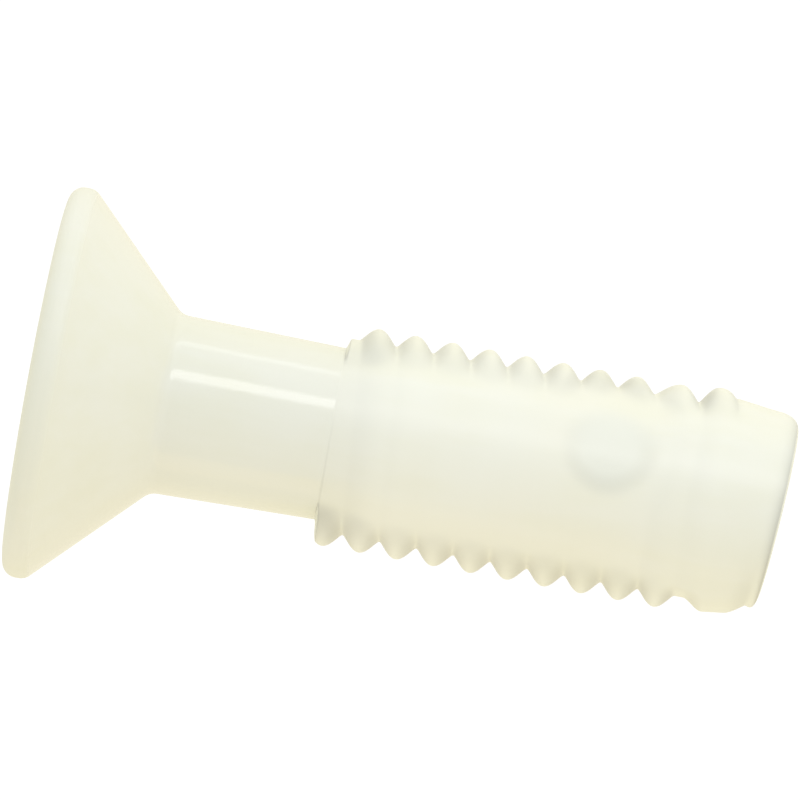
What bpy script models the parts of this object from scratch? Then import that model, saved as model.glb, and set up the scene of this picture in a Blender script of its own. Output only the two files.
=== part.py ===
"""Wall anchor: a screw-in nylon moulding with a countersunk head and two expansion legs.

The anchor lies along +X. Its head's front face is the plane x = 0, which ends up flush with
the wall, and its tip points to +X, into the wall. The slit that parts the barrel into an upper
and a lower leg lies in the XY plane. The thread stands full height along the slit and is low on
top and underneath, and the upper leg has a pocket near the tip that faces up, a little to +Y.
Lengths are written in millimetres and scaled to metres where a mesh is made.
"""

import math

import bmesh
import bpy
from mathutils import Matrix, Vector

MM = 0.001

# Driving sizes: a 3/8 in barrel with 16 threads to the inch, 1 1/4 in long, for 1/2 in board
OVERALL_LENGTH = 31.9
HEAD_DIAMETER = 16.8
RIM_ROUND = 0.6
RIM_LAND = 0.2
NECK_RADIUS_HEAD_END = 3.84
NECK_RADIUS_LEG_END = 3.70
HEAD_FILLET = 0.7
HEAD_LENGTH = 6.0
NECK_END = 12.35
THREAD_PITCH = 25.4 / 16
THREAD_CREST_RADIUS = 4.73
THREAD_ROOT_RADIUS = 4.13
THREAD_CREST_AT = 15.53
BARREL_HALF_WIDTH = 4.80
BARREL_HALF_HEIGHT = 4.22
COLLAR_START = 29.15
COLLAR_RADIUS_FRONT = 4.58
COLLAR_RADIUS_BACK = 4.36
COLLAR_ROUND = 0.75
GAP = 0.3

# The way in for the screw
SEAT_MOUTH_RADIUS = 5.5
BORE_RADIUS_NECK = 2.5
BORE_RADIUS_LEG_ROOT = 2.3
BORE_RADIUS_TIP = 1.5
RECESS_WIDTH = 1.7
RECESS_SPAN_MOUTH = 8.4
RECESS_SPAN_FLOOR = 5.2
RECESS_DEPTH = 5.2
POCKET_RADIUS = 2.3
POCKET_AT = 24.3
POCKET_FLOOR = 3.0
POCKET_LEAN = math.radians(24.7)

# Worked-out stations
HEAD_RADIUS = HEAD_DIAMETER / 2
NECK_START = HEAD_LENGTH + GAP
LEG_START = NECK_END + GAP
TIP_START = COLLAR_START + GAP

# Roundness of the faceted solids, and how far a cutter reaches past them
TURNED_STEPS = 48
THREAD_STEPS = 24
POCKET_STEPS = 32
TOOTH_POINTS = 7
TOOTH_SHARPNESS = 1.2
MERGE = 0.00001
CLEAR = 12.0

NYLON = (0.90, 0.89, 0.78, 1.0)


def clear_scene():
    for thing in list(bpy.data.objects):
        bpy.data.objects.remove(thing, do_unlink=True)


def new_collection(name):
    collection = bpy.data.collections.new(name)
    bpy.context.scene.collection.children.link(collection)
    return collection


def nylon_material(name, roughness):
    """Natural nylon for one sub-part."""
    material = bpy.data.materials.new(name)
    material.use_nodes = True
    shader = material.node_tree.nodes["Principled BSDF"]
    shader.inputs["Base Color"].default_value = NYLON
    shader.inputs["Roughness"].default_value = roughness
    shader.inputs["Metallic"].default_value = 0.0
    material.diffuse_color = NYLON
    return material


def arc(centre, radius, start, end, steps):
    """Points (x, r) along a round corner, angles in degrees from +X towards larger r."""
    points = []
    for i in range(steps + 1):
        angle = math.radians(start + (end - start) * i / steps)
        x = centre[0] + radius * math.cos(angle)
        r = centre[1] + radius * math.sin(angle)
        points.append((x, r))
    return points


def along(x, start, end):
    """The radius at x on the straight taper between two (x, r) points."""
    share = (x - start[0]) / (end[0] - start[0])
    return start[1] + share * (end[1] - start[1])


def neck_radius(x):
    return along(x, (HEAD_LENGTH, NECK_RADIUS_HEAD_END), (LEG_START, NECK_RADIUS_LEG_END))


def bore_radius(x):
    if x < LEG_START:
        return along(x, (HEAD_LENGTH, BORE_RADIUS_NECK), (LEG_START, BORE_RADIUS_LEG_ROOT))
    return along(x, (LEG_START, BORE_RADIUS_LEG_ROOT), (OVERALL_LENGTH, BORE_RADIUS_TIP))


def object_from_outline(name, outline, collection):
    """A closed outline of (x, r) points as a loop of edges in the local XZ plane.

    Local Z is the anchor's axis and the profile stands at local +X. The object is turned so
    that local Z becomes world +X.
    """
    mesh = bpy.data.meshes.new(name)
    shape = bmesh.new()
    corners = [shape.verts.new((r * MM, 0.0, x * MM)) for x, r in reversed(outline)]
    for first, second in zip(corners, corners[1:] + corners[:1]):
        shape.edges.new((first, second))
    shape.to_mesh(mesh)
    shape.free()
    thing = bpy.data.objects.new(name, mesh)
    thing.rotation_euler = (0.0, math.pi / 2, 0.0)
    collection.objects.link(thing)
    return thing


def baked(thing):
    """The object with its modifiers applied to its mesh and its place written into it."""
    bpy.context.view_layer.update()
    evaluated = thing.evaluated_get(bpy.context.evaluated_depsgraph_get())
    mesh = bpy.data.meshes.new_from_object(evaluated)
    mesh.transform(thing.matrix_world)
    thing.modifiers.clear()
    thing.matrix_world = Matrix.Identity(4)
    thing.data = mesh
    return thing


def add_screw(thing, steps):
    screw = thing.modifiers.new("turn", "SCREW")
    screw.axis = "Z"
    screw.angle = math.tau
    screw.steps = steps
    screw.render_steps = steps
    screw.merge_threshold = MERGE
    screw.use_smooth_shade = False
    return screw


def turned(name, outline, steps, collection):
    """A solid turned about the anchor's axis from a closed outline of (x, r) points."""
    thing = object_from_outline(name, outline, collection)
    add_screw(thing, steps).use_merge_vertices = True
    return baked(thing)


def cut(thing, cutter, operation="DIFFERENCE"):
    boolean = thing.modifiers.new(operation.lower(), "BOOLEAN")
    boolean.operation = operation
    boolean.solver = "EXACT"
    boolean.object = cutter


def as_cutter(thing):
    thing.hide_render = True
    thing.display_type = "WIRE"
    return thing


def box(name, low, high, collection):
    """A cutter box between two corners, in millimetres."""
    bpy.ops.mesh.primitive_cube_add(size=1.0)
    thing = bpy.context.active_object
    thing.name = name
    centre = (Vector(low) + Vector(high)) / 2 * MM
    size = (Vector(high) - Vector(low)) * MM
    place = Matrix.Translation(centre) @ Matrix.Diagonal((*size, 1.0))
    thing.data.transform(place)
    move_to(thing, collection)
    return as_cutter(thing)


def move_to(thing, collection):
    for home in list(thing.users_collection):
        home.objects.unlink(thing)
    collection.objects.link(thing)


def head_outline():
    """Front face, rounded rim, 45 degree cone, fillet into the neck, bore and screw seat."""
    rim_r = HEAD_RADIUS - RIM_ROUND
    front_corner = arc((RIM_ROUND, rim_r), RIM_ROUND, 180, 90, 5)
    back_corner = arc((RIM_ROUND + RIM_LAND, rim_r), RIM_ROUND, 90, 45, 4)
    cone_x, cone_r = back_corner[-1]
    meets_neck = cone_x + cone_r - NECK_RADIUS_HEAD_END
    fillet_x = meets_neck + HEAD_FILLET * math.tan(math.radians(22.5))
    fillet = arc((fillet_x, NECK_RADIUS_HEAD_END + HEAD_FILLET), HEAD_FILLET, 225, 270, 4)
    seat_depth = SEAT_MOUTH_RADIUS - BORE_RADIUS_NECK
    inside = [
        (HEAD_LENGTH, NECK_RADIUS_HEAD_END),
        (HEAD_LENGTH, BORE_RADIUS_NECK),
        (seat_depth, BORE_RADIUS_NECK),
        (0.0, SEAT_MOUTH_RADIUS),
    ]
    return front_corner + back_corner + fillet + inside


def recess_wing(name, quarter_turns, collection):
    """One blade of the cross recess: a plate that narrows towards its floor."""
    bpy.ops.mesh.primitive_cube_add(size=1.0)
    wing = bpy.context.active_object
    wing.name = name
    mouth_x = -1.0
    for corner in wing.data.vertices:
        at_floor = corner.co.x > 0
        span = RECESS_SPAN_FLOOR if at_floor else RECESS_SPAN_MOUTH
        corner.co.x = (RECESS_DEPTH if at_floor else mouth_x) * MM
        corner.co.y = corner.co.y * RECESS_WIDTH * MM
        corner.co.z = corner.co.z * span * MM
    wing.data.transform(Matrix.Rotation(quarter_turns * math.pi / 2, 4, "X"))
    move_to(wing, collection)
    return as_cutter(wing)


def make_head(parts, cutters):
    head = turned("flared_head", head_outline(), TURNED_STEPS, parts)
    for quarter in range(2):
        cut(head, recess_wing(f"recess_wing_{quarter + 1}", quarter, cutters))
    return head


def make_neck(parts):
    outline = [
        (NECK_START, neck_radius(NECK_START)),
        (NECK_END, neck_radius(NECK_END)),
        (NECK_END, bore_radius(NECK_END)),
        (NECK_START, bore_radius(NECK_START)),
    ]
    return turned("neck_sleeve", outline, TURNED_STEPS, parts)


def tooth_outline():
    """One thread tooth in (x, r), broad and round on top, with its foot buried in the core."""
    half_foot = 0.47 * THREAD_PITCH
    depth = THREAD_CREST_RADIUS - THREAD_ROOT_RADIUS
    points = []
    for i in range(TOOTH_POINTS):
        s = half_foot * (2 * i / (TOOTH_POINTS - 1) - 1)
        rise = abs(math.cos(math.pi * s / THREAD_PITCH)) ** TOOTH_SHARPNESS
        points.append((s, THREAD_ROOT_RADIUS + depth * rise))
    buried = THREAD_ROOT_RADIUS - 0.4
    return points + [(half_foot, buried), (-half_foot, buried)]


def thread_ridge(collection):
    """The tooth carried round the barrel as one right-hand helical ridge with closed ends."""
    start_x = LEG_START - 1.5 * THREAD_PITCH
    turns = math.ceil((COLLAR_START - start_x) / THREAD_PITCH) + 1
    ridge = object_from_outline("thread_ridge", tooth_outline(), collection)
    screw = add_screw(ridge, THREAD_STEPS)
    screw.screw_offset = THREAD_PITCH * MM
    screw.iterations = turns
    baked(ridge)
    # The tooth is drawn at -90 degrees about +X, and the crest that is counted stands at +Y
    turns_to_crest = (THREAD_CREST_AT - start_x) / THREAD_PITCH
    angle = math.pi / 2 - math.tau * turns_to_crest
    place = Matrix.Translation((start_x * MM, 0.0, 0.0)) @ Matrix.Rotation(angle, 4, "X")
    ridge.data.transform(place)
    close_ends(ridge)
    return as_cutter(ridge)


def close_ends(ridge):
    """Fills the two open ends of the ridge and turns all its faces outwards."""
    shape = bmesh.new()
    shape.from_mesh(ridge.data)
    bmesh.ops.remove_doubles(shape, verts=shape.verts, dist=MERGE)
    open_edges = [edge for edge in shape.edges if edge.is_boundary]
    bmesh.ops.holes_fill(shape, edges=open_edges, sides=0)
    bmesh.ops.recalc_face_normals(shape, faces=shape.faces)
    shape.to_mesh(ridge.data)
    shape.free()


def barrel_outline():
    core = THREAD_ROOT_RADIUS + 0.03
    return [
        (LEG_START, core),
        (COLLAR_START, core),
        (COLLAR_START, bore_radius(COLLAR_START)),
        (LEG_START, bore_radius(LEG_START)),
    ]


def collar_outline():
    """The plain collar at the tip, tapering and rounded at its end."""
    round_r = COLLAR_RADIUS_BACK - COLLAR_ROUND
    corner = arc((OVERALL_LENGTH - COLLAR_ROUND, round_r), COLLAR_ROUND, 90, 0, 6)
    return [(TIP_START, COLLAR_RADIUS_FRONT)] + corner + [
        (OVERALL_LENGTH, bore_radius(OVERALL_LENGTH)),
        (TIP_START, bore_radius(TIP_START)),
    ]


def pocket_cutter(collection):
    """A flat-ended drill that leans from +Z towards +Y and stops short of the bore."""
    bpy.ops.mesh.primitive_cylinder_add(
        vertices=POCKET_STEPS, radius=POCKET_RADIUS * MM, depth=CLEAR * MM
    )
    pocket = bpy.context.active_object
    pocket.name = "pocket"
    raised = Matrix.Translation((0.0, 0.0, (POCKET_FLOOR + CLEAR / 2) * MM))
    leaning = Matrix.Rotation(-POCKET_LEAN, 4, "X")
    pocket.data.transform(Matrix.Translation((POCKET_AT * MM, 0.0, 0.0)) @ leaning @ raised)
    move_to(pocket, collection)
    return as_cutter(pocket)


def barrel_envelope(collection):
    """The oval cylinder that the thread stays inside."""
    length = COLLAR_START - LEG_START
    bpy.ops.mesh.primitive_cylinder_add(vertices=TURNED_STEPS, radius=1.0, depth=1.0)
    envelope = bpy.context.active_object
    envelope.name = "barrel_envelope"
    # Local X becomes world Z, and local Z becomes world X
    size = Matrix.Diagonal((BARREL_HALF_HEIGHT, BARREL_HALF_WIDTH, length, 1.0))
    turn = Matrix.Rotation(math.pi / 2, 4, "Y")
    middle = Matrix.Translation((LEG_START + length / 2, 0.0, 0.0))
    envelope.data.transform(Matrix.Scale(MM, 4) @ middle @ turn @ size)
    move_to(envelope, collection)
    return as_cutter(envelope)


def half_space(side, collection):
    """All that lies above the slit (side 1) or below it (side -1)."""
    near, far = side * GAP / 2, side * CLEAR
    low = (LEG_START, -CLEAR, min(near, far))
    high = (OVERALL_LENGTH + CLEAR, CLEAR, max(near, far))
    name = "upper_half" if side > 0 else "lower_half"
    return box(name, low, high, collection)


def make_leg(name, side_box, ridge, envelope, parts):
    """Half of the threaded barrel, with its half of the bore."""
    leg = turned(name, barrel_outline(), THREAD_STEPS, parts)
    cut(leg, ridge, "UNION")
    cut(leg, envelope, "INTERSECT")
    cut(leg, side_box, "INTERSECT")
    return leg


def make_tip_half(name, side_box, parts):
    tip = turned(name, collar_outline(), TURNED_STEPS, parts)
    cut(tip, side_box, "INTERSECT")
    return tip


def shade(thing, roughness):
    thing.data.materials.clear()
    thing.data.materials.append(nylon_material(f"{thing.name}_nylon", roughness))
    thing.data.shade_smooth()
    thing.data.set_sharp_from_angle(angle=math.radians(30))


def build():
    clear_scene()
    parts = new_collection("wall_anchor")
    cutters = new_collection("cutters")
    ridge = thread_ridge(cutters)
    envelope = barrel_envelope(cutters)
    upper = half_space(1, cutters)
    lower = half_space(-1, cutters)
    upper_leg = make_leg("upper_threaded_leg", upper, ridge, envelope, parts)
    cut(upper_leg, pocket_cutter(cutters))
    shade(make_head(parts, cutters), 0.30)
    shade(make_neck(parts), 0.25)
    shade(upper_leg, 0.35)
    shade(make_leg("lower_threaded_leg", lower, ridge, envelope, parts), 0.35)
    shade(make_tip_half("upper_tip_half", upper, parts), 0.30)
    shade(make_tip_half("lower_tip_half", lower, parts), 0.30)


build()
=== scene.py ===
# %% [markdown]
# # A screw-in wall anchor in natural nylon
# The anchor is one injection moulding, about as long as the top joint of a thumb. Its wide head
# is countersunk, its plain neck is as long as the board is thick, and its fine thread bites
# behind. A slit parts the threaded barrel into two legs, which a screw spreads.
# We build three pieces: the head with its neck, and one leg for each side of the slit. They are
# separate because they move separately.

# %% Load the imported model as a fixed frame
import math

import bmesh
import bpy
from mathutils import Matrix, Vector


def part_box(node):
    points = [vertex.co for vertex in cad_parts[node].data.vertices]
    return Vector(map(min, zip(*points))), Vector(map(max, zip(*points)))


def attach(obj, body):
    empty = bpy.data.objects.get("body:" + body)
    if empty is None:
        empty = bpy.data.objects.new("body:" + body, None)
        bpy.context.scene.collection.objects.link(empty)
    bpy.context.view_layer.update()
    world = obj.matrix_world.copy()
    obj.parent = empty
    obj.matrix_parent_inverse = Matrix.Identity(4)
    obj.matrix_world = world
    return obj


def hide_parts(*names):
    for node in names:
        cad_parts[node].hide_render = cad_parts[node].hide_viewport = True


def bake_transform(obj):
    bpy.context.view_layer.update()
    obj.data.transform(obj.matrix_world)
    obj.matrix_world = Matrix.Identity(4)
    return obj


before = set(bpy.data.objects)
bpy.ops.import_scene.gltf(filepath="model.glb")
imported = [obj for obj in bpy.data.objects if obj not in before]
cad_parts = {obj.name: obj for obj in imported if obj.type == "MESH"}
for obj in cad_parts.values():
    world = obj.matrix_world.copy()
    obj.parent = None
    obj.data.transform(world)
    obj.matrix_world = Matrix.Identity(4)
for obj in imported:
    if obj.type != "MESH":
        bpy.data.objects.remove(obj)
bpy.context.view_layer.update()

# %% [markdown]
# ## Sizes
# The anchor lies along X with its front face at x = 0. Lengths are written in millimetres and
# turned into metres where a mesh is made. What the frame knows is read from the frame, so that
# the looks can't drift away from the design. The rest are the thread, the bore and the shallow
# round pocket in the upper leg, which leans from +Z towards +Y.

# %% Sizes
MM = 0.001


def millimetres(node):
    """The lowest and highest corner of a part of the frame, in millimetres."""
    low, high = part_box(node)
    return low / MM, high / MM


HEAD_LOW, HEAD_HIGH = millimetres("flared_head")
NECK_LOW, NECK_HIGH = millimetres("neck_sleeve")
LEG_LOW, LEG_HIGH = millimetres("upper_threaded_leg")
TIP_LOW, TIP_HIGH = millimetres("upper_tip_half")

HEAD_RADIUS = HEAD_HIGH.z
NECK_RADIUS = NECK_HIGH.z
NECK_TAPER = 0.14
ROOT_X = LEG_LOW.x
COLLAR_X = TIP_LOW.x
COLLAR_RADIUS = TIP_HIGH.z
TIP_X = TIP_HIGH.x

PITCH = 25.4 / 16
CREST_RADIUS = 4.74
ROOT_RADIUS = 4.13
CREST_X = 15.53

SEAT_RADIUS = 5.5
SEAT_ROUND = 0.2
BORE_NECK = 2.5
BORE_ROOT = 2.3
BORE_TIP = 1.5
POCKET_X = 24.3
POCKET_RADIUS = 2.3
POCKET_LEAN = math.radians(24.7)
POCKET_FLOOR = 1.0
POCKET_DEPTH = 0.6
SLIT_HALF_ANGLE = math.radians(0.03)
LEG_SWING = math.radians(5)
print(f"head {HEAD_RADIUS * 2:.1f} mm across, {TIP_X:.1f} mm long, thread pitch {PITCH:.4f} mm")

# %% [markdown]
# ## Outlines and turning
# Every piece of this anchor is round about one axis, so each starts as half a section: points
# (x, r), with r the distance from the axis. A corner is an arc of a few points. Turning could be
# a Screw modifier, but a leg needs only half a turn and flat faces where the slit cuts it, and
# bmesh's spin gives both: the two open ends of the half turn are filled, and the solid is closed.

# %% Outline helpers
def arc(centre_x, centre_r, radius, start, end, steps):
    """Points of a round corner, angles in degrees from +X towards a larger radius."""
    points = []
    for i in range(steps + 1):
        angle = math.radians(start + (end - start) * i / steps)
        points.append((centre_x + radius * math.cos(angle), centre_r + radius * math.sin(angle)))
    return points


def between(start, end, steps):
    """Points on a straight run, without its first point."""
    points = []
    for i in range(1, steps + 1):
        share = i / steps
        points.append(tuple(a + (b - a) * share for a, b in zip(start, end)))
    return points


def spun(name, outline, start, sweep, steps):
    """A closed solid: the outline carried round the axis from one angle through a sweep."""
    shape = bmesh.new()
    corners = [shape.verts.new((x * MM, r * MM, 0.0)) for x, r in outline]
    edges = [shape.edges.new(pair) for pair in zip(corners, corners[1:] + corners[:1])]
    bmesh.ops.rotate(shape, verts=corners, matrix=Matrix.Rotation(start, 3, "X"))
    bmesh.ops.spin(
        shape, geom=corners + edges, axis=(1, 0, 0), cent=(0, 0, 0), angle=sweep, steps=steps
    )
    bmesh.ops.remove_doubles(shape, verts=shape.verts, dist=0.000001)
    open_edges = [edge for edge in shape.edges if edge.is_boundary]
    if open_edges:
        bmesh.ops.holes_fill(shape, edges=open_edges, sides=0)
    bmesh.ops.recalc_face_normals(shape, faces=shape.faces)
    mesh = bpy.data.meshes.new(name)
    shape.to_mesh(mesh)
    shape.free()
    piece = bpy.data.objects.new(name, mesh)
    bpy.context.scene.collection.objects.link(piece)
    return piece


def baked(piece):
    """Writes the modifiers into the mesh and removes them."""
    evaluated = piece.evaluated_get(bpy.context.evaluated_depsgraph_get())
    mesh = bpy.data.meshes.new_from_object(evaluated)
    piece.modifiers.clear()
    piece.data = mesh
    return piece


def smooth(piece, sharp_from=35):
    piece.data.shade_smooth()
    piece.data.set_sharp_from_angle(angle=math.radians(sharp_from))
    print(f"{piece.name}: {len(piece.data.polygons)} faces")


print("a quarter round in three points:", arc(0.0, 0.0, 1.0, 0, 90, 2))

# %% [markdown]
# ## A small language for nodes
# Both the thread and the nylon are formulas. Written as Math nodes by hand they would be pages
# of links, so one class wraps a socket and lets Python's own signs add the nodes. Everything
# that isn't arithmetic comes from one method, `add`.

# %% Node language
class Value:
    """A number on its way through a node tree."""

    def __init__(self, tree, socket):
        self.tree = tree
        self.socket = socket

    def __add__(self, other):
        return maths(self.tree, "ADD", self, other)

    def __sub__(self, other):
        return maths(self.tree, "SUBTRACT", self, other)

    def __mul__(self, other):
        return maths(self.tree, "MULTIPLY", self, other)

    def __truediv__(self, other):
        return maths(self.tree, "DIVIDE", self, other)

    def __pow__(self, other):
        return maths(self.tree, "POWER", self, other)

    def __rsub__(self, other):
        return maths(self.tree, "SUBTRACT", other, self)

    def __abs__(self):
        return maths(self.tree, "ABSOLUTE", self)

    __radd__ = __add__
    __rmul__ = __mul__


def add(tree, kind, settings=None, inputs=None, output=0):
    """A node with its settings made first and its sockets filled, as the Value of one output."""
    node = tree.nodes.new(kind)
    for name, setting in (settings or {}).items():
        setattr(node, name, setting)
    for name, given in (inputs or {}).items():
        if isinstance(given, Value):
            tree.links.new(given.socket, node.inputs[name])
        else:
            node.inputs[name].default_value = given
    return Value(tree, node.outputs[output])


def maths(tree, operation, *given):
    inputs = dict(enumerate(given))
    return add(tree, "ShaderNodeMath", {"operation": operation}, inputs)


def ease(value, start, end):
    """0 before start, 1 after end, smooth between."""
    inputs = {"Value": value, "From Min": start, "From Max": end}
    return add(value.tree, "ShaderNodeMapRange", {"interpolation_type": "SMOOTHSTEP"}, inputs)


def coordinates(tree, place):
    """The three coordinates of a place as numbers."""
    split = add(tree, "ShaderNodeSeparateXYZ", None, {"Vector": place})
    return [Value(tree, socket) for socket in split.socket.node.outputs]


print("1 - mask works, because Value has", Value.__rsub__.__name__)

# %% [markdown]
# ## Natural nylon
# Undyed nylon is milky: light enters, scatters for a millimetre or so and leaves, so shallow
# relief nearly vanishes and the shadows are pale straw. Subsurface scattering does this on one
# solid. Here it would leave a dark line wherever two pieces meet, because the light stops at
# their hidden faces. So the nylon is made the other way: a colour so pale that light passes on
# from face to face, and on the thread a normal that leans towards the one of a plain bar.

# %% Nylon tools
NYLON_CLEAR = (0.940, 0.938, 0.785, 1.0)
NYLON_MILKY = (0.955, 0.956, 0.830, 1.0)
NYLON_WARM = (0.945, 0.918, 0.740, 1.0)
# painted shade: the greyer colour painted over the pocket's thin floor
NYLON_POCKET_SHADE = (0.915, 0.922, 0.800, 1.0)
NYLON_IOR = 1.53
FLANK, CREST = 0.25, 0.60


def noise(tree, place, scale, detail, roughness=0.5):
    inputs = {"Vector": place, "Scale": scale, "Detail": detail, "Roughness": roughness}
    return add(tree, "ShaderNodeTexNoise", None, inputs)


def mix_colour(tree, share, first, second):
    node = tree.nodes.new("ShaderNodeMix")
    node.data_type = "RGBA"
    tree.links.new(share.socket, node.inputs[0])
    for socket, given in ((node.inputs[6], first), (node.inputs[7], second)):
        if isinstance(given, Value):
            tree.links.new(given.socket, socket)
        else:
            socket.default_value = given
    return Value(tree, node.outputs[2])


def vector(tree, operation, *given, output=0):
    inputs = {("Scale" if operation == "SCALE" and i else i): v for i, v in enumerate(given)}
    return add(tree, "ShaderNodeVectorMath", {"operation": operation}, inputs, output)


def eased_normal(tree, place, share):
    """The surface's normal, leaning towards the one that a plain round bar would have."""
    flank = add(tree, "ShaderNodeNewGeometry", output="Normal")
    bar = vector(tree, "NORMALIZE", vector(tree, "MULTIPLY", place, (0.0, 1.0, 1.0)))
    outward = vector(tree, "DOT_PRODUCT", flank, bar, output="Value")
    lean = ease(outward, FLANK, CREST) * share
    mixed = vector(
        tree, "ADD", vector(tree, "SCALE", flank, 1 - lean), vector(tree, "SCALE", bar, lean)
    )
    return vector(tree, "NORMALIZE", mixed)


def shaded(colour, share):
    return tuple(channel * share for channel in colour[:3]) + (1.0,)


print("the palest nylon:", NYLON_MILKY[:3])

# %% [markdown]
# ## What varies over the nylon
# Faint clouds and flow lines show where the melt cooled, and a few patches are warmer. Over the
# pocket the colour is painted a little greyer, as painted shade for the thin wall that sends less
# light back. The legs are painted as dark as the neck next to it, as painted shade, and grow paler
# along the first turns. The rim is rubbed dull, and the rest has the gloss of the mould, with an
# unevenness of a few hundredths of a millimetre that makes the reflection of a long light waver.
# All of it is read in the object's own coordinates.

# %% Nylon patterns
FLOW_STRETCH = (0.15, 1.0, 1.0)
WARM_SHARE = 0.25
# where the painted shade over the pocket is full and where it ends, in mm from its middle
POCKET_SHADE_INNER = 0.9
POCKET_SHADE_OUTER = 2.1
# painted shade on the legs next to the neck, and the run in mm over which it fades
ROOT_SHADE = 0.95
ROOT_SHADE_RUN = 3.0
RUBBED_FROM = 1.10
RUBBED_TO = 1.25
RUBBED_ROUGHNESS = 0.32
RELIEF_HEIGHT = 0.00003


def melt_colour(tree, place, stretched, clouds, painted_shade_scale):
    flow = noise(tree, stretched, 900.0, 4.0)
    tint = ease(clouds * 0.6 + flow * 0.4, 0.38, 0.62)
    colour = mix_colour(tree, tint, shaded(NYLON_CLEAR, painted_shade_scale), shaded(NYLON_MILKY, painted_shade_scale))
    patches = ease(noise(tree, place, 70.0, 2.0), 0.52, 0.75)
    return mix_colour(tree, patches * WARM_SHARE, colour, shaded(NYLON_WARM, painted_shade_scale))


def leg_colour(tree, place, colour, painted_shade_scale):
    """A leg's colour with painted shade: greyer over the pocket's thin floor, darker by the neck.
    """
    x, y, z = coordinates(tree, place)
    across = y * math.cos(POCKET_LEAN) - z * math.sin(POCKET_LEAN)
    distance = maths(tree, "SQRT", (x - POCKET_X * MM) ** 2 + across * across)
    near = 1 - ease(distance, POCKET_SHADE_INNER * MM, POCKET_SHADE_OUTER * MM)
    # painted shade: the colour turns greyer over the pocket, on the upper leg only
    pocket_shade = near * maths(tree, "GREATER_THAN", z, 0.0)
    colour = mix_colour(tree, pocket_shade, colour, shaded(NYLON_POCKET_SHADE, painted_shade_scale))
    # painted shade: the leg is darker at its root and paler after the first turns
    past_root_shade = ease(x, ROOT_X * MM, (ROOT_X + ROOT_SHADE_RUN) * MM)
    return vector(tree, "SCALE", colour, ROOT_SHADE + past_root_shade * (1 - ROOT_SHADE))


def gloss(tree, place, stretched, clouds, polish):
    scuffs = noise(tree, stretched, 2600.0, 2.0)
    x = coordinates(tree, place)[0]
    rubbed = 1 - ease(x, RUBBED_FROM * MM, RUBBED_TO * MM)
    worn = (scuffs - 0.5) * 0.10 + (clouds - 0.5) * 0.08
    return worn + rubbed * RUBBED_ROUGHNESS + polish


def unevenness(tree, place, waver, softening):
    waves = noise(tree, place, 420.0, 1.0)
    grain = noise(tree, place, 9000.0, 2.0)
    relief = {"Height": waves * waver + grain * 0.02, "Strength": 1.0, "Distance": RELIEF_HEIGHT}
    if softening:
        relief["Normal"] = eased_normal(tree, place, softening)
    return add(tree, "ShaderNodeBump", None, relief)


print("the rim is dull up to x =", RUBBED_FROM, "mm")

# %% [markdown]
# ## Two finishes of one nylon
# The head and neck are glossy, as a polished mould leaves them, and their colour is painted a
# little darker, as painted shade. The threaded legs are duller, and only they have relief to
# soften.

# %% Nylon
def nylon(name, polish, waver, softening, painted_shade_scale):
    """polish is the roughness of the finish, waver the depth of its unevenness, softening the
    share of the relief that is evened out, and the last scales all colours, below 1 as painted
    shade."""
    material = bpy.data.materials.new(name)
    material.use_nodes = True
    tree = material.node_tree
    shader = tree.nodes["Principled BSDF"]
    shader.inputs["IOR"].default_value = NYLON_IOR
    place = add(tree, "ShaderNodeTexCoord", output="Object")
    stretched = add(tree, "ShaderNodeMapping", None, {"Vector": place, "Scale": FLOW_STRETCH})
    clouds = noise(tree, place, 160.0, 3.0)
    colour = melt_colour(tree, place, stretched, clouds, painted_shade_scale)
    if softening:
        colour = leg_colour(tree, place, colour, painted_shade_scale)
    rough = gloss(tree, place, stretched, clouds, polish)
    bump = unevenness(tree, place, waver, softening)
    tree.links.new(colour.socket, shader.inputs["Base Color"])
    tree.links.new(rough.socket, shader.inputs["Roughness"])
    tree.links.new(bump.socket, shader.inputs["Normal"])
    print(f"{name}: {len(tree.nodes)} nodes")
    return material


# the head and neck get all their colours scaled to 0.95, as painted shade
head_nylon = nylon("polished_nylon", polish=0.13, waver=0.6, softening=0.0, painted_shade_scale=0.95)
thread_nylon = nylon("threaded_nylon", polish=0.38, waver=0.5, softening=0.92, painted_shade_scale=1.0)

# %% [markdown]
# ## The head and neck
# The head is a wide flat cone, 90 degrees across, that sinks into the board until its face is
# flush. It runs into the neck with a small fillet, and the neck tapers slightly so that it
# leaves the mould. Inside are a seat for the screw's head and a bore. We draw the half section
# with its rounds and turn it once round.

# %% Head and neck section
TURNED_STEPS = 192
RIM_ROUND = 0.62
RIM_LAND = 0.15
HEAD_FILLET = 0.75


def head_section():
    rim_r = HEAD_RADIUS - RIM_ROUND
    front = arc(RIM_ROUND, rim_r, RIM_ROUND, 180, 90, 12)
    back = arc(RIM_ROUND + RIM_LAND, rim_r, RIM_ROUND, 90, 45, 8)
    cone_x, cone_r = back[-1]
    neck_x = cone_x + cone_r - NECK_RADIUS
    fillet_x = neck_x + HEAD_FILLET * math.tan(math.radians(22.5))
    fillet = arc(fillet_x, NECK_RADIUS + HEAD_FILLET, HEAD_FILLET, 225, 270, 8)
    cone = between(back[-1], fillet[0], 24)[:-1]
    neck = between(fillet[-1], (ROOT_X, NECK_RADIUS - NECK_TAPER), 30)
    bore = [(ROOT_X, BORE_ROOT)] + between((ROOT_X, BORE_ROOT), (HEAD_HIGH.x, BORE_NECK), 12)
    seat_floor = SEAT_RADIUS - BORE_NECK
    seat_edge_r = SEAT_RADIUS + SEAT_ROUND * (math.sqrt(2) - 1)
    seat_edge = arc(SEAT_ROUND, seat_edge_r, SEAT_ROUND, 225, 180, 4)
    seat = between((HEAD_HIGH.x, BORE_NECK), (seat_floor, BORE_NECK), 6)
    face = between(seat_edge[-1], front[0], 6)[:-1]
    return front + back[1:] + cone + fillet + neck + bore + seat + seat_edge + face


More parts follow.
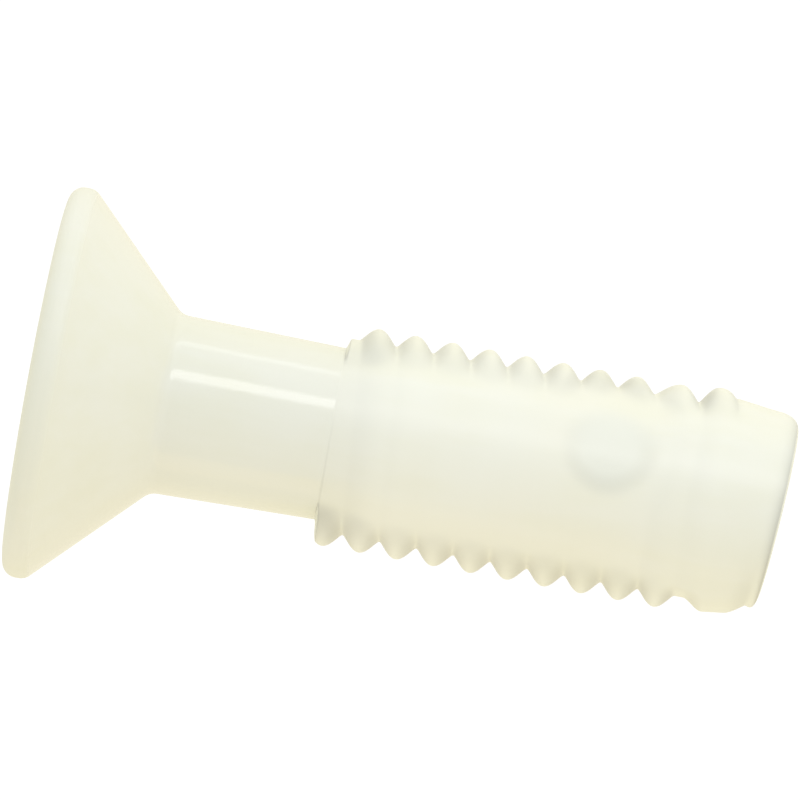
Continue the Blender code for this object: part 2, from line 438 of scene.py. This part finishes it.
head = spun("head_and_neck", head_section(), 0.0, math.tau, TURNED_STEPS)
print("points in the section:", len(head_section()))

# %% [markdown]
# ## The cross recess
# The recess for the driver isn't round, so it is cut afterwards: two blades that taper towards
# the floor, square to each other, with softened corners.

# %% Cross recess
RECESS_MOUTH_X, RECESS_FLOOR_X = -1.0, 5.2
RECESS_MOUTH_HALF, RECESS_FLOOR_HALF = 4.35, 2.6
BLADE_HALF_WIDTH = 0.85
BLADE_FLOOR_SHARE = 0.85
BLADE_ROUND = 0.18


def recess_blade(name, turn):
    """One tapered blade of the cross recess, with softened corners."""
    shape = bmesh.new()
    bmesh.ops.create_cube(shape, size=2.0)
    for corner in shape.verts:
        at_floor = corner.co.x > 0
        half = RECESS_FLOOR_HALF if at_floor else RECESS_MOUTH_HALF
        width = BLADE_HALF_WIDTH * (BLADE_FLOOR_SHARE if at_floor else 1.0)
        x = RECESS_FLOOR_X if at_floor else RECESS_MOUTH_X
        corner.co = Vector((x, corner.co.y * width, corner.co.z * half)) * MM
    bmesh.ops.bevel(
        shape, geom=shape.edges, offset=BLADE_ROUND * MM, segments=4, profile=0.5, affect="EDGES"
    )
    bmesh.ops.rotate(shape, verts=shape.verts, matrix=Matrix.Rotation(turn, 3, "X"))
    mesh = bpy.data.meshes.new(name)
    shape.to_mesh(mesh)
    shape.free()
    blade = bpy.data.objects.new(name, mesh)
    bpy.context.scene.collection.objects.link(blade)
    return blade


def carve(piece, tools):
    for tool in tools:
        boolean = piece.modifiers.new("carve", "BOOLEAN")
        boolean.operation = "DIFFERENCE"
        boolean.solver = "EXACT"
        boolean.object = tool
    baked(piece)
    for tool in tools:
        bpy.data.objects.remove(tool)


carve(head, [recess_blade("blade_1", 0.0), recess_blade("blade_2", math.pi / 2)])
head.data.materials.append(head_nylon)
smooth(head)
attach(head, "shell")
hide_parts("flared_head", "neck_sleeve")

# %% [markdown]
# ## A plain leg blank
# A leg is half of the barrel and half of the tip collar. Before the thread is cut it is a plain
# half turning: a root face where it meets the neck, the core of the thread, an eased step up to
# the collar, a rounded end and the bore. Points are close together where the thread will be,
# because the thread is made by moving them.

# %% Leg blanks
HALF_TURN_STEPS = 110
STEPS_PER_PITCH = 20
COLLAR_END_RADIUS = 4.36
COLLAR_ROUND = 0.75
COLLAR_RAMP = 0.9
ROOT_RAMP = 0.2
MOUTH_ROUND = 0.2


def eased_run(start, end, steps):
    """Points on a run that leaves and arrives level, without its first point."""
    points = []
    for x, _ in between(start, end, steps):
        share = (x - start[0]) / (end[0] - start[0])
        points.append((x, start[1] + (end[1] - start[1]) * share**2 * (3 - 2 * share)))
    return points


def leg_section():
    foot = (ROOT_X, NECK_RADIUS - NECK_TAPER)
    root_edge = [foot] + eased_run(foot, (ROOT_X + ROOT_RAMP, ROOT_RADIUS), 12)
    ramp_x = COLLAR_X - COLLAR_RAMP
    steps = round((ramp_x - ROOT_X) / PITCH * STEPS_PER_PITCH)
    core = between(root_edge[-1], (ramp_x, ROOT_RADIUS), steps)
    ramp = eased_run(core[-1], (COLLAR_X, COLLAR_RADIUS), 14)
    corner = arc(TIP_X - COLLAR_ROUND, COLLAR_END_RADIUS - COLLAR_ROUND, COLLAR_ROUND, 80, 0, 12)
    collar = between(ramp[-1], corner[0], 12)[:-1]
    mouth = arc(TIP_X - MOUTH_ROUND, BORE_TIP + MOUTH_ROUND, MOUTH_ROUND, 0, -90, 4)
    bore = between(mouth[-1], (ROOT_X, BORE_ROOT), 40)
    return root_edge + core + ramp + collar + corner + mouth + bore


def leg_blank(name, start):
    """Half a turning, short of the slit's plane by a hair at both ends."""
    sweep = math.pi - 2 * SLIT_HALF_ANGLE
    return spun(name, leg_section(), start + SLIT_HALF_ANGLE, sweep, HALF_TURN_STEPS)


print("points in a leg's section:", len(leg_section()))

# %% [markdown]
# ## The rule of the thread
# A thread is a rule, not a drawing: at every point the radius depends only on how far along and
# how far round it is. Going once round moves the wave along by one pitch, so a point's place in
# the wave is t = (x - crest) / pitch - angle / turn. The height is |cos(pi t)| with a power that
# broadens the crests and a softness that rounds the roots. The first turn fades in along the
# helix, as on a real moulding, and the last stands a little prouder and then runs out.
# The barrel is slightly oval, because it leaves the mould sideways: the teeth have their full
# height at the two sides, where the slit is, and hardly any height square to them.

# %% Thread rule
TREE_INPUTS = {
    "Pitch": PITCH * MM,
    "Depth": (CREST_RADIUS - ROOT_RADIUS) * MM,
    "Crest X": CREST_X * MM,
    "Low Share": 0.08,
    "Low Side": 0.76,
    "Full Side": 0.99,
    "Root Radius": ROOT_RADIUS * MM,
    "Start Turn": -1.95,
    "Full Turn": -1.60,
    "Last Turn": 8.1,
    "End Turn": 8.5,
    "Root X": ROOT_X * MM,
    "Root Step": (ROOT_RADIUS - NECK_RADIUS + NECK_TAPER) * MM,
    "Root Run": 3.2 * MM,
    "Swell X": (COLLAR_X - 4.0) * MM,
    "Collar X": COLLAR_X * MM,
    "Collar Radius": COLLAR_RADIUS * MM,
    "Drift": 0.33 * MM,
    "Drift X": 25.6 * MM,
    "Skew": 0.06,
    "Skew X": 30.9 * MM,
    "End X": TIP_X * MM,
    "Core Radius": 3.0 * MM,
    "Pocket X": POCKET_X * MM,
    "Pocket Radius": POCKET_RADIUS * MM,
    "Pocket Lean": POCKET_LEAN,
    "Pocket Floor": POCKET_FLOOR * MM,
    "Pocket Depth": POCKET_DEPTH * MM,
}
CREST_POWER = 1.1
ROOT_SOFTNESS = 0.12
DRIFT_SIDE = 0.8
PROUD_TURNS = 0.5
PROUD_SHARE = 0.3
ROOT_FACE_RUN = 0.12


def helix_ribs(tree, given, x, angle, side):
    """The thread's height over its root, from 0 to 1 or a little more on the last turn."""
    turn = angle / math.tau
    late = ease(x, given["Drift X"], given["Drift X"] + given["Pitch"])
    wander = ease(side, 0.0, DRIFT_SIDE) * late
    t = (x - given["Drift"] * wander - given["Crest X"]) / given["Pitch"] - turn
    swing = maths(tree, "COSINE", t * math.pi)
    softened = maths(tree, "SQRT", swing * swing + ROOT_SOFTNESS**2) - ROOT_SOFTNESS
    wave = (softened / (math.sqrt(1 + ROOT_SOFTNESS**2) - ROOT_SOFTNESS)) ** CREST_POWER
    along_helix = maths(tree, "ROUND", t) + turn
    fade_in = ease(along_helix, given["Start Turn"], given["Full Turn"])
    fade_out = 1 - ease(along_helix, given["Last Turn"], given["End Turn"])
    last = ease(along_helix, given["Last Turn"] - PROUD_TURNS, given["Last Turn"])
    return wave * fade_in * fade_out * (1 + last * PROUD_SHARE)


print(f"thread depth {CREST_RADIUS - ROOT_RADIUS:.2f} mm over a core of {ROOT_RADIUS} mm radius")

# %% [markdown]
# ## The pocket and the ends of the barrel
# The pocket is a shallow bowl, deepest towards its lower side, and the thread stops short of
# it. In front, where the teeth are low, the barrel grows out of the neck over a few
# millimetres without a step, and swells gently into the collar. The lower corner of the tip has
# a small dip.

# %% Pocket and ends
POCKET_CLEARING = 1.6
DIP_DEPTH = 0.35
DIP_START, DIP_FULL, DIP_LEAVE, DIP_END = 30.4, 31.4, 31.3, 31.9


def pocket_bowl(tree, given, drilled, x, y, z):
    """The pocket's depth from 0 to 1, and the share of the thread that is left round it."""
    lean_cos = maths(tree, "COSINE", given["Pocket Lean"])
    lean_sin = maths(tree, "SINE", given["Pocket Lean"])
    across = y * lean_cos - z * lean_sin
    distance = maths(tree, "SQRT", (x - given["Pocket X"]) ** 2 + across * across)
    faces_it = maths(tree, "GREATER_THAN", y * lean_sin + z * lean_cos, 0.0) * drilled
    bowl = (1 - ease(distance, given["Pocket Floor"], given["Pocket Radius"])) * faces_it
    slant = 0.5 - across / given["Pocket Radius"] * 0.5
    clearing = given["Pocket Radius"] * POCKET_CLEARING
    around = 1 - ease(distance, given["Pocket Radius"], clearing)
    return bowl * slant, 1 - around * faces_it


def sink_to_neck(tree, given, x, radius):
    """How far the front of the barrel lies below its full size next to the neck."""
    run = (x - given["Root X"]) / given["Root Run"]
    neck_radius = given["Root Radius"] - given["Root Step"]
    above_neck = maths(tree, "MAXIMUM", radius - neck_radius, 0.0)
    return above_neck * (1 - ease(run, 0.0, 1.0))


def swell_to_collar(tree, given, x, radius):
    below_collar = maths(tree, "MAXIMUM", given["Collar Radius"] - radius, 0.0)
    before_collar = maths(tree, "LESS_THAN", x, given["Collar X"])
    return below_collar * ease(x, given["Swell X"], given["Collar X"]) * before_collar


def corner_dip(tree, x, side):
    low_side = maths(tree, "MAXIMUM", 0 - side, 0.0) ** 2
    arrives = ease(x, DIP_START * MM, DIP_FULL * MM)
    leaves = 1 - ease(x, DIP_LEAVE * MM, DIP_END * MM)
    return arrives * leaves * DIP_DEPTH * MM * low_side


print(f"the pocket clears the thread for {POCKET_RADIUS * POCKET_CLEARING:.1f} mm round its middle")

# %% [markdown]
# ## The tree that cuts a leg
# Geometry Nodes evaluate the rules on the blank's points and move each one along its own radius.
# Points inside the core radius are the bore, and stay. One input says whether the leg is the one
# with the pocket.

# %% Thread tree
def thread_tree():
    tree = bpy.data.node_groups.new("cut_thread_and_pocket", "GeometryNodeTree")
    tree.interface.new_socket("Geometry", in_out="INPUT", socket_type="NodeSocketGeometry")
    tree.interface.new_socket("Geometry", in_out="OUTPUT", socket_type="NodeSocketGeometry")
    for name, size in TREE_INPUTS.items():
        socket = tree.interface.new_socket(name, in_out="INPUT", socket_type="NodeSocketFloat")
        socket.default_value = size
    tree.interface.new_socket("Drilled", in_out="INPUT", socket_type="NodeSocketBool")
    tree.interface.new_socket("Nylon", in_out="INPUT", socket_type="NodeSocketMaterial")
    group_in = tree.nodes.new("NodeGroupInput")
    given = {name: Value(tree, group_in.outputs[name]) for name in TREE_INPUTS}
    drilled = Value(tree, group_in.outputs["Drilled"])

    x, y, z = coordinates(tree, add(tree, "GeometryNodeInputPosition"))
    radius = maths(tree, "SQRT", y * y + z * z)
    angle = maths(tree, "ARCTAN2", z, y)
    side = maths(tree, "COSINE", angle)
    toothed = ease(abs(side), given["Low Side"], given["Full Side"])
    depth = given["Depth"] * (given["Low Share"] + (1 - given["Low Share"]) * toothed)
    bowl, plain = pocket_bowl(tree, given, drilled, x, y, z)
    step_up = ease(x, given["Root X"], given["Root X"] + ROOT_FACE_RUN * MM)
    ribs = depth * helix_ribs(tree, given, x, angle, side) * step_up * plain

    front = 1 - toothed
    rise = ribs + swell_to_collar(tree, given, x, radius) * front
    sink = sink_to_neck(tree, given, x, radius) * front
    drop = given["Pocket Depth"] * bowl + sink + corner_dip(tree, x, side)
    outside = maths(tree, "GREATER_THAN", radius, given["Core Radius"])
    share = (radius + rise * outside - drop * outside) / radius
    lean = ease(x, given["Skew X"], given["End X"]) * given["Skew"] * radius * side
    moved = add(
        tree, "ShaderNodeCombineXYZ", None, {"X": x + lean, "Y": y * share, "Z": z * share}
    )
    threaded = tree.nodes.new("GeometryNodeSetPosition")
    tree.links.new(group_in.outputs["Geometry"], threaded.inputs["Geometry"])
    tree.links.new(moved.socket, threaded.inputs["Position"])
    cut = Value(tree, threaded.outputs[0])
    realized = add(tree, "GeometryNodeRealizeInstances", None, {"Geometry": cut})
    skin = Value(tree, group_in.outputs["Nylon"])
    inputs = {"Geometry": realized, "Material": skin}
    finish = add(tree, "GeometryNodeSetMaterial", None, inputs)
    group_out = tree.nodes.new("NodeGroupOutput")
    tree.links.new(finish.socket, group_out.inputs[0])
    return tree


THREAD_TREE = thread_tree()
print(f"{THREAD_TREE.name}: {len(THREAD_TREE.nodes)} nodes, {len(TREE_INPUTS)} sizes")

# %% [markdown]
# ## The two legs
# Each leg stays joined to the neck at its root, where the nylon bends. Here each leg is a blank
# with its thread cut and baked into the mesh.

# %% Legs
LEGS = (
    ("upper_leg_moulding", "upper_leg", "upper", 0.0),
    ("lower_leg_moulding", "lower_leg", "lower", math.pi),
)


def set_input(modifier, name, given):
    """Sets a modifier's input by its socket's identifier."""
    for item in modifier.node_group.interface.items_tree:
        if item.name == name and item.in_out == "INPUT":
            modifier[item.identifier] = given


def threaded_leg(name, start, drilled):
    leg = leg_blank(name, start)
    modifier = leg.modifiers.new("thread", "NODES")
    modifier.node_group = THREAD_TREE
    for socket_name, size in TREE_INPUTS.items():
        set_input(modifier, socket_name, size)
    set_input(modifier, "Drilled", drilled)
    set_input(modifier, "Nylon", thread_nylon)
    return baked(leg)


for piece_name, body, side, start in LEGS:
    leg = threaded_leg(piece_name, start, side == "upper")
    smooth(leg)
    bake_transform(leg)
    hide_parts(f"{side}_threaded_leg", f"{side}_tip_half")

# %% [markdown]
# ## The floor
# The anchor lies on a pale table. The table touches the rim of the head and slopes away under
# the tip just enough that the lower leg has room to open. It glows, as a light table does, so
# the anchor throws no shadow on it. Seen directly it is white. The light that it gives the nylon
# is warmer, and stands for the warm light that scatters about inside real nylon.

# %% Floor
FLOOR_HALF = 0.8
RIM_GAP = 0.05
SWING_ROOM = 0.2
TABLE_PAINT = (0.05, 0.05, 0.05, 1.0)
TABLE_WHITE = (1.02, 1.02, 1.02, 1.0)
TABLE_GLOW = (0.90, 0.85, 0.68, 1.0)


def table_material():
    material = bpy.data.materials.new("white_table")
    material.use_nodes = True
    tree = material.node_tree
    shader = tree.nodes["Principled BSDF"]
    shader.inputs["Base Color"].default_value = TABLE_PAINT
    shader.inputs["Roughness"].default_value = 1.0
    shader.inputs["Emission Strength"].default_value = 1.0
    seen = add(tree, "ShaderNodeLightPath")
    glow = mix_colour(tree, seen, TABLE_GLOW, TABLE_WHITE)
    tree.links.new(glow.socket, shader.inputs["Emission Color"])
    return material


def make_floor():
    rim_x = RIM_ROUND + RIM_LAND / 2
    spread = (TIP_X - ROOT_X) * math.sin(LEG_SWING)
    tilt = math.atan((HEAD_RADIUS - COLLAR_RADIUS - spread - SWING_ROOM) / (TIP_X - rim_x))
    shape = bmesh.new()
    bmesh.ops.create_grid(shape, x_segments=2, y_segments=2, size=FLOOR_HALF)
    turn = Matrix.Rotation(-tilt, 4, "Y")
    down = Vector((rim_x, 0.0, -HEAD_RADIUS - RIM_GAP)) * MM
    bmesh.ops.transform(shape, verts=shape.verts, matrix=Matrix.Translation(down) @ turn)
    mesh = bpy.data.meshes.new("table")
    shape.to_mesh(mesh)
    shape.free()
    table = bpy.data.objects.new("table", mesh)
    bpy.context.scene.collection.objects.link(table)
    table.data.materials.append(table_material())
    print(f"the table slopes by {math.degrees(tilt):.1f} degrees")


make_floor()

# %% [markdown]
# ## Light
# A white room lights the nylon evenly. Two long tube lights run parallel to the anchor: on a
# round neck a long light shows as a thin bright line, at the azimuth half way between the eye
# and the light. Two wide panels tint the sides, cool from above and warm from below.

# %% Light
EYE_ANGLE = math.pi / 2
AIM = Vector((15.3, 0.0, 0.0)) * MM
LAMP_DISTANCE = 0.45
ROOM_COLOUR = (0.98, 0.985, 0.97, 1.0)
ROOM_STRENGTH = 0.765
TUBE = dict(length=0.34, colour=(1.0, 1.0, 1.05), shift=0.13)
COOL = dict(length=0.7, colour=(0.8, 1.0, 1.45))
WARM = dict(length=0.7, colour=(1.25, 0.85, 0.15), shift=0.12)


def round_axis(angle):
    """The direction square to the anchor's axis at an angle from +Y towards +Z."""
    return Vector((0.0, math.cos(angle), math.sin(angle)))


def strip_light(name, angle, width_angle, radiance, length, colour, shift=0.0):
    """A long light parallel to the anchor, seen from it at the given angle, in degrees."""
    width = 2 * LAMP_DISTANCE * math.tan(math.radians(width_angle) / 2)
    data = bpy.data.lights.new(name, "AREA")
    data.shape = "RECTANGLE"
    data.size = length
    data.size_y = width
    data.energy = radiance * math.pi * length * width
    data.color = colour
    lamp = bpy.data.objects.new(name, data)
    along = Vector((1.0, 0.0, 0.0))
    away = round_axis(math.radians(angle))
    axes = Matrix((along, away.cross(along), away)).transposed()
    middle = AIM + away * LAMP_DISTANCE + along * shift
    lamp.matrix_world = Matrix.Translation(middle) @ axes.to_4x4()
    bpy.context.scene.collection.objects.link(lamp)
    print(f"{name}: {angle} degrees round, {width * 1000:.0f} mm wide")


def white_room():
    world = bpy.data.worlds.new("white_room")
    bpy.context.scene.world = world
    world.use_nodes = True
    background = world.node_tree.nodes["Background"]
    background.inputs["Color"].default_value = ROOM_COLOUR
    background.inputs["Strength"].default_value = ROOM_STRENGTH
    bpy.context.scene.view_settings.view_transform = "Standard"


strip_light("front_tube", 50, 13, 3.2, **TUBE)
strip_light("back_tube", 1, 11, 1.1, **TUBE)
strip_light("cool_panel", 15, 50, 0.28, **COOL)
strip_light("warm_panel", 175, 40, 0.50, **WARM)
white_room()

# %% [markdown]
# ## Camera
# A long lens looks straight down at the anchor, square to its axis, with the camera rolled so
# that the tip points to the lower right. It stands ten lengths away, so that the head isn't
# drawn larger than the tip.

# %% Camera
ROLL = math.radians(10.4)
CAMERA_DISTANCE = 0.318
FRAME_WIDTH = 0.0339
SENSOR = 36.0
SIDE_STEP = 1.94 * MM


def make_camera():
    data = bpy.data.cameras.new("camera")
    data.sensor_width = SENSOR
    data.lens = SENSOR * CAMERA_DISTANCE / FRAME_WIDTH
    data.clip_start = 0.01
    data.clip_end = 10.0
    camera = bpy.data.objects.new("camera", data)
    along = Vector((1.0, 0.0, 0.0))
    above = round_axis(0.0)
    back = round_axis(EYE_ANGLE)
    right = along * math.cos(ROLL) + above * math.sin(ROLL)
    up = above * math.cos(ROLL) - along * math.sin(ROLL)
    axes = Matrix((right, up, back)).transposed()
    target = AIM + above * SIDE_STEP
    camera.matrix_world = Matrix.Translation(target + back * CAMERA_DISTANCE) @ axes.to_4x4()
    bpy.context.scene.collection.objects.link(camera)
    bpy.context.scene.camera = camera
    print(f"lens {data.lens:.0f} mm")


make_camera()
